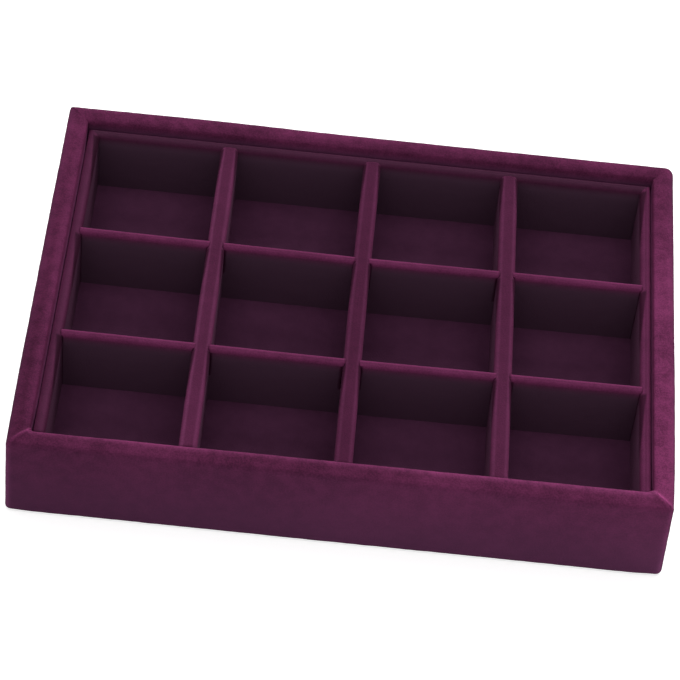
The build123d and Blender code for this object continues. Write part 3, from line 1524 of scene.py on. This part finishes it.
    def dividers(self) -> tuple[list[Bar], list[Bar]]:
        """The long dividers, from the left, and the cross dividers, from the front.

        Returns:
            The two lists.
        """
        same = Nap(peak=0.5, sides=(-0.05, 0.0), swell=(0.18 * MM, 0.12 * MM), shelter=(0.45, 27.0))
        long_naps = (
            replace(same, outer=0.85, inner=0.68, top=-0.34, glow=0.15),
            replace(same, outer=0.6, inner=0.55, top=-0.42),
            replace(same, outer=0.68, inner=0.66, top=-0.32),
        )
        bends = (
            (-0.38 * MM, -0.3 * MM, -0.05 * MM),
            (-0.55 * MM, -0.5 * MM, 0.25 * MM),
            (0.72 * MM, 0.4 * MM, -0.35 * MM),
        )
        longs = [
            Bar(f"long_divider_velvet_{i + 1}", 1, (End.CLOSED, End.BUTT), self.long_crown, nap,
                laps=(0.0, self.lap), bend=bend)
            for i, (nap, bend) in enumerate(zip(long_naps, bends))
        ]
        cross_nap = Nap(outer=0.1, inner=0.1, top=0.33, sides=(0.0, -0.2), shade_grey=(0.95, 0.0),
                        glow=1.1, glow_reach=2.6 * MM)
        curves = (
            ((0.3 * MM, -0.05 * MM, 0.9 * MM), (0.1 * MM, -0.1 * MM, 0.25 * MM)),
            ((0.7 * MM, -0.05 * MM, 0.5 * MM), (0.25 * MM, -0.1 * MM, 0.15 * MM)),
        )
        crosses = [
            Bar(f"cross_divider_velvet_{i + 1}", 0, (End.BUTT, End.BUTT), self.cross_crown, cross_nap,
                laps=(self.lap, self.lap), bend=bend, lift=lift, outer_round=1.6 * MM, middle=0.42)
            for i, (bend, lift) in enumerate(curves)
        ]
        return longs, crosses

    def build(self) -> list[bpy.types.Object]:
        """Build the liner and the dividers.

        Returns:
            The velvets.
        """
        made = [self.cover(bar) for bar in self.liners()]
        longs, crosses = self.dividers()
        low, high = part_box(longs[0].node)
        middle = (low.z + high.z) / 2
        for bar in longs:
            obj = self.cover(bar)
            self.fit(bar, obj, ["back_liner_velvet"], [cross.node for cross in crosses], middle)
            made.append(obj)
        under = ["left_liner_velvet", "right_liner_velvet", *(bar.node for bar in longs)]
        for bar in crosses:
            obj = self.cover(bar)
            self.fit(bar, obj, under, [], middle)
            made.append(obj)
        return made


@dataclass
class Boards:
    """Boards and cards of the frame, which keep their own shape and take a finish."""

    finishes: Finishes

    def build(self) -> list[bpy.types.Object]:
        """Give every board and card left showing its finish.

        Returns:
            The boards and cards.
        """
        looks = {Slot.MDF: self.finishes.mdf, Slot.GREY: self.finishes.grey, Slot.FLOCK: self.finishes.flock}
        made = []
        for row in frame["record"]["subparts"]:
            slot = Slot(row["material_slot"])
            if slot in looks:
                made.append(frame["nodes"][row["node"]])
                coat(made[-1], looks[slot])
        return made


@dataclass(frozen=True)
class Lamp:
    """Soft lamp far away: its strength, the direction that it shines from and its spread in degrees."""

    name: str
    strength: float
    place: tuple[float, float, float]
    spread: float


@dataclass
class Stage:
    """Pale floor, soft studio light and the camera at the photograph's place.

    The key comes from behind, above and a little to the right, and the overhead lamp fills the
    compartments' floors.
    """

    yaw: float = 0.557
    pitch: float = 46.338
    roll: float = -6.2485
    aim: tuple[float, float, float] = (-4.578 * MM, 12.249 * MM, 0.0)
    distance: float = 1173.5 * MM
    focal_pixels: float = 3035.458
    clip: Pair = (0.05, 50.0)
    dome: float = 0.42
    lamps: tuple[Lamp, ...] = (
        Lamp("key", 2.6, (0.12, 0.85, 0.62), 40.0),
        Lamp("overhead", 0.6, (0.0, -0.1, 1.0), 70.0),
    )
    floor_size: float = 8.0
    floor_colour: float = 0.8
    floor_lift: float = 0.68
    hidden: float = 0.3 * MM

    def camera(self) -> None:
        """Place the camera."""
        yaw, pitch, roll = (math.radians(v) for v in (self.yaw, self.pitch, self.roll))
        ahead = Vector((math.sin(yaw) * math.cos(pitch), math.cos(yaw) * math.cos(pitch), -math.sin(pitch)))
        level = Vector((math.cos(yaw), -math.sin(yaw), 0.0))
        down = ahead.cross(level)
        right = math.cos(roll) * level + math.sin(roll) * down
        under = math.cos(roll) * down - math.sin(roll) * level
        turn = Matrix((right, -under, -ahead)).transposed()
        data = bpy.data.cameras.new("camera")
        data.sensor_width = SENSOR_MM
        data.lens = self.focal_pixels / FILM_PIXELS * SENSOR_MM
        data.clip_start, data.clip_end = self.clip
        camera = bpy.data.objects.new("camera", data)
        camera.matrix_world = Matrix.Translation(Vector(self.aim) - ahead * self.distance) @ turn.to_4x4()
        bpy.context.scene.collection.objects.link(camera)
        bpy.context.scene.camera = camera

    def world(self) -> None:
        """Soft dome, seen as white by the camera."""
        world = bpy.data.worlds.new("dome")
        bpy.context.scene.world = world
        world.use_nodes = True
        world.node_tree.nodes.clear()
        n = NodeTree(world.node_tree)
        strength = n.math("ADD", n.math("MULTIPLY", n.seen(), 1.0 - self.dome), self.dome)
        light = n.add("Background", Color=(1.0, 1.0, 1.0), Strength=strength)
        n.add("OutputWorld", Surface=light.outputs[0])

    def light(self) -> None:
        """Hang the lamps."""
        for lamp in self.lamps:
            data = bpy.data.lights.new(lamp.name, "SUN")
            data.energy = lamp.strength
            data.angle = math.radians(lamp.spread)
            obj = bpy.data.objects.new(lamp.name, data)
            obj.rotation_euler = Vector(lamp.place).to_track_quat("Z", "Y").to_euler()
            bpy.context.scene.collection.objects.link(obj)

    def floor(self) -> None:
        """Plain pale floor, seen as near white by the camera, that keeps the tray's shadow.

        It is open where the tray hides it, and can be looked through from below, so that the
        tray's underside can be seen.
        """
        half = self.floor_size / 2
        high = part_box("underside_panel")[1]
        around = ((-1, -1), (1, -1), (1, 1), (-1, 1))
        corners = [Vector((x * half, y * half, 0.0)) for x, y in around]
        corners += [Vector((x * (high.x - self.hidden), y * (high.y - self.hidden), 0.0)) for x, y in around]
        obj = make_object("studio_floor", corners, [(0, 1, 5, 4), (1, 2, 6, 5), (2, 3, 7, 6), (3, 0, 4, 7)])
        material, n, shader = new_material("pale_floor")
        path, side = n.add("LightPath").outputs, n.add("NewGeometry").outputs
        under = n.math("MULTIPLY", path["Is Camera Ray"], side["Backfacing"])
        values = {
            "Base Color": (self.floor_colour,) * 3,
            "Roughness": 1.0,
            "Specular IOR Level": 0.0,
            "Emission Color": (1.0, 1.0, 1.0),
            "Emission Strength": n.math("MULTIPLY", n.seen(), self.floor_lift),
            "Alpha": n.math("SUBTRACT", 1.0, under),
        }
        for label, value in values.items():
            n.feed(shader.inputs[label], value)
        obj.data.materials.append(material)

    def build(self) -> None:
        """Build the stage."""
        self.camera()
        self.world()
        self.light()
        self.floor()
        bpy.context.scene.view_settings.view_transform = "Standard"
        log.info("stage: camera, dome, %d lamps and floor", len(self.lamps))


def main() -> None:
    """Build the stage, then every sub-assembly in order, and report each piece."""
    logging.basicConfig(level=logging.INFO, format="%(message)s")
    Stage().build()
    finishes = Finishes()
    for assembly in (TrayWraps(finishes), TrayFloor(finishes), Insert(finishes), Boards(finishes)):
        for piece in assembly.build():
            log.info("%s: %s in %s", type(assembly).__name__, piece.name, piece.active_material.name)


if __name__ == "__main__":
    main()
